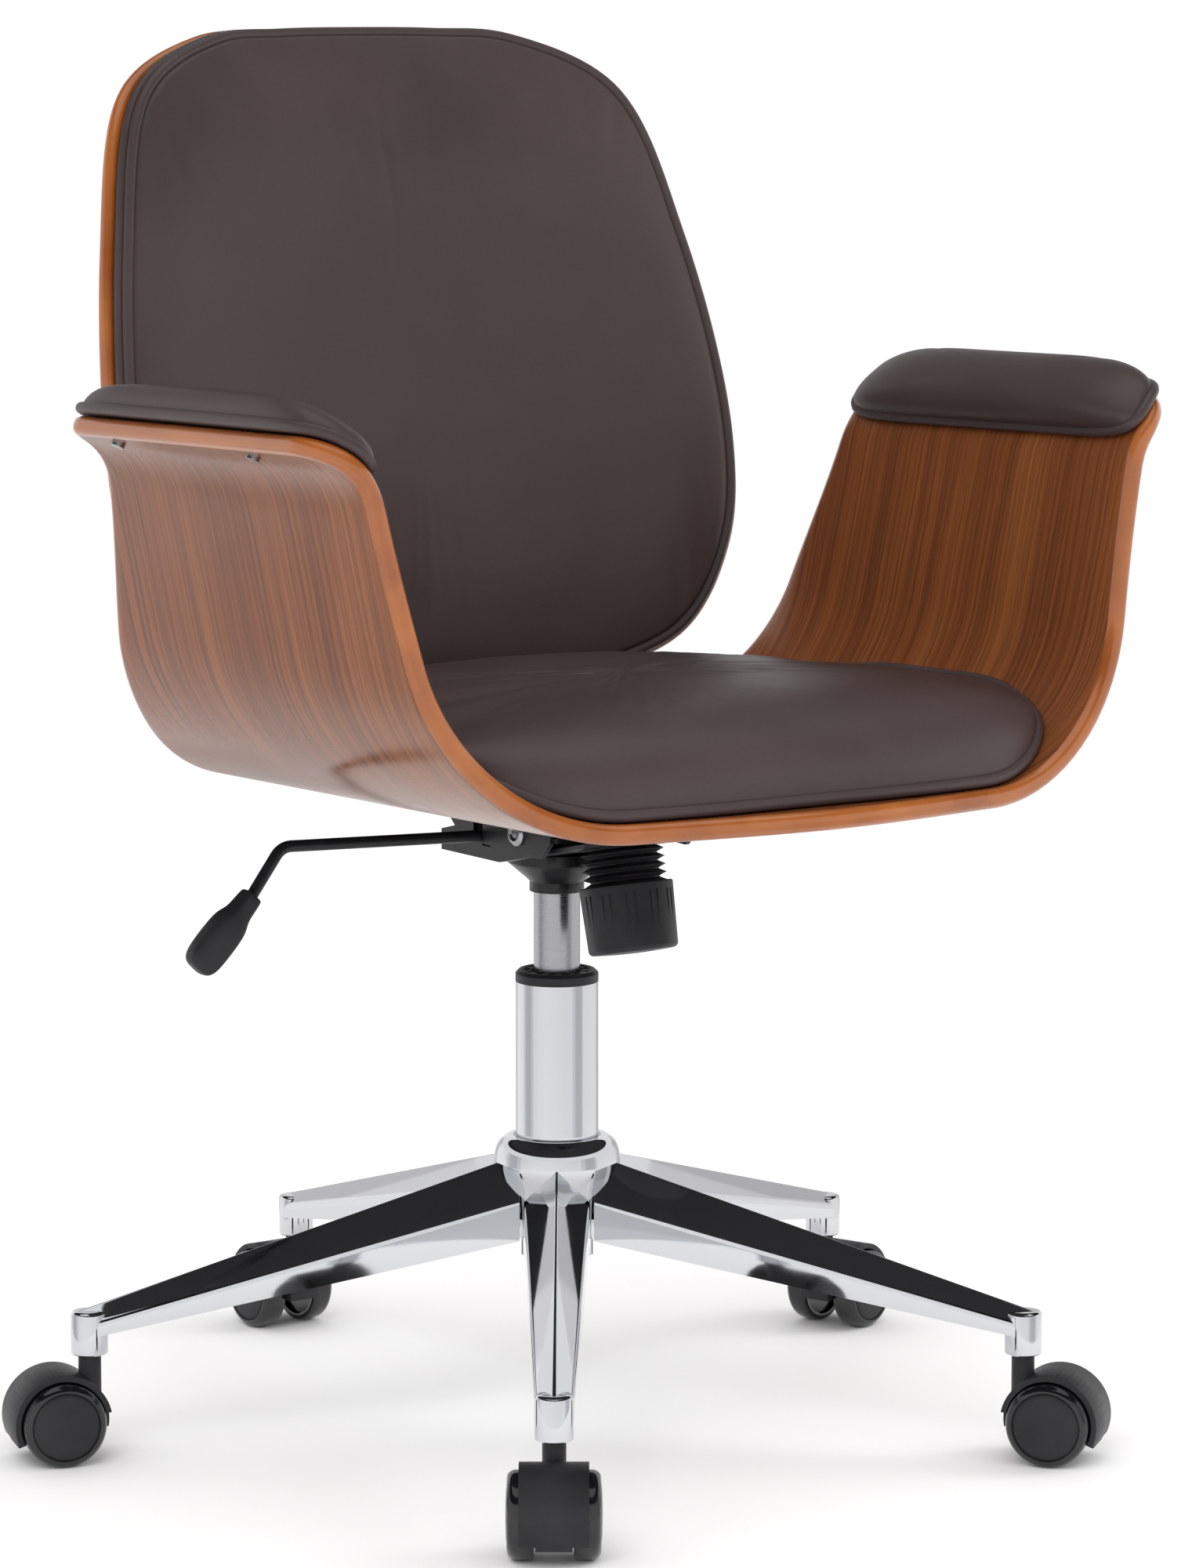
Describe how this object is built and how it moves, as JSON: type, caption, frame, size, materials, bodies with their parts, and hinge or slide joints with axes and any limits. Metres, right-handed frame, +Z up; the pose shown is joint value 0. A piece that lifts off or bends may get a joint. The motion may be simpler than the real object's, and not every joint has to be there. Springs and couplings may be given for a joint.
{
  "type": "office chair",
  "caption": "Swivel office chair with one bent walnut shell for seat and arms, leather pads, wrapped back, tilt and lift lever, chrome star base on casters",
  "frame": {"origin": "on the floor under the column", "axes": "+Z up, the sitter looks along -Y, +X to the sitter's left"},
  "size_m": [0.6566, 0.6316, 0.8379],
  "materials": {
    "chrome": "polished chrome plate",
    "steel": "bright machined steel",
    "black_plastic": "moulded, fine grain",
    "wheel_plastic": "moulded, glossy rim",
    "black_steel": "satin black paint",
    "walnut_ply": "lacquered walnut veneer on plywood",
    "leather": "smooth dark brown leather"
  },
  "bodies": {
    "base": {"base_hub": "chrome", "leg_1": "chrome", "leg_2": "chrome", "leg_3": "chrome", "leg_4": "chrome", "leg_5": "chrome", "column_tube": "chrome", "guide_collar": "black_plastic", "thrust_bearing": "steel"},
    "caster_1": {"caster_1_stem": "steel", "caster_1_hood": "black_plastic", "caster_1_axle": "steel"},
    "caster_1_left": {"caster_1_wheel_left": "wheel_plastic"},
    "caster_1_right": {"caster_1_wheel_right": "wheel_plastic"},
    "caster_2": {"caster_2_stem": "steel", "caster_2_hood": "black_plastic", "caster_2_axle": "steel"},
    "caster_2_left": {"caster_2_wheel_left": "wheel_plastic"},
    "caster_2_right": {"caster_2_wheel_right": "wheel_plastic"},
    "caster_3": {"caster_3_stem": "steel", "caster_3_hood": "black_plastic", "caster_3_axle": "steel"},
    "caster_3_left": {"caster_3_wheel_left": "wheel_plastic"},
    "caster_3_right": {"caster_3_wheel_right": "wheel_plastic"},
    "caster_4": {"caster_4_stem": "steel", "caster_4_hood": "black_plastic", "caster_4_axle": "steel"},
    "caster_4_left": {"caster_4_wheel_left": "wheel_plastic"},
    "caster_4_right": {"caster_4_wheel_right": "wheel_plastic"},
    "caster_5": {"caster_5_stem": "steel", "caster_5_hood": "black_plastic", "caster_5_axle": "steel"},
    "caster_5_left": {"caster_5_wheel_left": "wheel_plastic"},
    "caster_5_right": {"caster_5_wheel_right": "wheel_plastic"},
    "rod": {"piston_rod": "steel"},
    "lift": {"gas_cylinder": "steel", "mech_pot": "black_steel", "pivot_pin": "steel", "spring_sleeve": "black_plastic", "tension_spring": "steel"},
    "valve": {"release_pin": "steel"},
    "slider": {"lock_slider": "black_steel"},
    "lever": {"lever_rod": "black_steel", "lever_handle": "black_plastic"},
    "bolt": {"tension_bolt": "steel"},
    "pressure_plate": {"spring_plate": "black_steel"},
    "knob": {"tension_knob": "black_plastic"},
    "seat": {"seat_plate": "black_steel", "seat_screws": "steel", "seat_shell": "walnut_ply", "seat_pad": "leather", "arm_pad_left": "leather", "arm_pad_right": "leather", "arm_pad_screws": "steel", "back_bracket": "black_steel", "bracket_bolts": "steel", "back_shell": "walnut_ply", "back_pad": "leather"}
  },
  "joints": [
    {"name": "caster_1_swivel", "type": "hinge", "parent": "base", "child": "caster_1", "pos_m": [-0.16217, -0.24042, 0.06], "axis": [0, 0, 1], "continuous": true},
    {"name": "caster_1_roll_left", "type": "hinge", "parent": "caster_1", "child": "caster_1_left", "pos_m": [-0.17335, -0.257, 0.025], "axis": [0.829, -0.5592, 0], "continuous": true},
    {"name": "caster_1_roll_right", "type": "hinge", "parent": "caster_1", "child": "caster_1_right", "pos_m": [-0.17335, -0.257, 0.025], "axis": [0.829, -0.5592, 0], "continuous": true},
    {"name": "caster_2_swivel", "type": "hinge", "parent": "base", "child": "caster_2", "pos_m": [0.17854, -0.22852, 0.06], "axis": [0, 0, 1], "continuous": true},
    {"name": "caster_2_roll_left", "type": "hinge", "parent": "caster_2", "child": "caster_2_left", "pos_m": [0.19085, -0.24428, 0.025], "axis": [0.788, 0.6157, 0], "continuous": true},
    {"name": "caster_2_roll_right", "type": "hinge", "parent": "caster_2", "child": "caster_2_right", "pos_m": [0.19085, -0.24428, 0.025], "axis": [0.788, 0.6157, 0], "continuous": true},
    {"name": "caster_3_swivel", "type": "hinge", "parent": "base", "child": "caster_3", "pos_m": [0.27251, 0.09919, 0.06], "axis": [0, 0, 1], "continuous": true},
    {"name": "caster_3_roll_left", "type": "hinge", "parent": "caster_3", "child": "caster_3_left", "pos_m": [0.2913, 0.10603, 0.025], "axis": [-0.342, 0.9397, 0], "continuous": true},
    {"name": "caster_3_roll_right", "type": "hinge", "parent": "caster_3", "child": "caster_3_right", "pos_m": [0.2913, 0.10603, 0.025], "axis": [-0.342, 0.9397, 0], "continuous": true},
    {"name": "caster_4_swivel", "type": "hinge", "parent": "base", "child": "caster_4", "pos_m": [-0.01012, 0.28982, 0.06], "axis": [0, 0, 1], "continuous": true},
    {"name": "caster_4_roll_left", "type": "hinge", "parent": "caster_4", "child": "caster_4_left", "pos_m": [-0.01082, 0.30981, 0.025], "axis": [-0.9994, -0.0349, 0], "continuous": true},
    {"name": "caster_4_roll_right", "type": "hinge", "parent": "caster_4", "child": "caster_4_right", "pos_m": [-0.01082, 0.30981, 0.025], "axis": [-0.9994, -0.0349, 0], "continuous": true},
    {"name": "caster_5_swivel", "type": "hinge", "parent": "base", "child": "caster_5", "pos_m": [-0.27877, 0.07994, 0.06], "axis": [0, 0, 1], "continuous": true},
    {"name": "caster_5_roll_left", "type": "hinge", "parent": "caster_5", "child": "caster_5_left", "pos_m": [-0.29799, 0.08545, 0.025], "axis": [-0.2756, -0.9613, 0], "continuous": true},
    {"name": "caster_5_roll_right", "type": "hinge", "parent": "caster_5", "child": "caster_5_right", "pos_m": [-0.29799, 0.08545, 0.025], "axis": [-0.2756, -0.9613, 0], "continuous": true},
    {"name": "column_swivel", "type": "hinge", "parent": "base", "child": "rod", "pos_m": [0, 0, 0.11], "axis": [0, 0, 1], "continuous": true},
    {"name": "lift_slide", "type": "slide", "parent": "rod", "child": "lift", "axis": [0, 0, 1], "range_m": [-0.038, 0.047]},
    {"name": "seat_tilt", "type": "hinge", "parent": "lift", "child": "seat", "pos_m": [0, -0.038, 0.369], "axis": [-1, 0, 0], "range_deg": [0, 12], "stiffness_Nm_per_rad": 150, "springref_deg": -14.32},
    {"name": "bolt_slide", "type": "slide", "parent": "lift", "child": "bolt", "axis": [0, 0.213, 0.977], "range_m": [0, 0.0062], "deforming": ["tension_spring"]},
    {"name": "plate_slide", "type": "slide", "parent": "bolt", "child": "pressure_plate", "axis": [0, 0.213, 0.977], "range_m": [0, 0.0031], "deforming": ["tension_spring"]},
    {"name": "knob_turn", "type": "hinge", "parent": "bolt", "child": "knob", "pos_m": [0, -0.0685, 0.36], "axis": [0, 0.213, 0.977], "range_deg": [0, 720]},
    {"name": "lock_slide", "type": "slide", "parent": "lift", "child": "slider", "axis": [-1, 0, 0], "range_m": [0, 0.008]},
    {"name": "lever_lift", "type": "hinge", "parent": "slider", "child": "lever", "pos_m": [-0.025, 0.005, 0.3614], "axis": [0, 1, 0], "range_deg": [0, 6], "stiffness_Nm_per_rad": 6, "springref_deg": -6.88},
    {"name": "valve_press", "type": "slide", "parent": "lift", "child": "valve", "axis": [0, 0, -1], "range_m": [0, 0.0031]}
  ],
  "couplings": [
    {"joint": "bolt_slide", "follows": "seat_tilt", "m_per_rad": 0.0275},
    {"joint": "plate_slide", "follows": "knob_turn", "m_per_rad": 0.000238},
    {"joint": "valve_press", "follows": "lever_lift", "m_per_rad": 0.029}
  ]
}
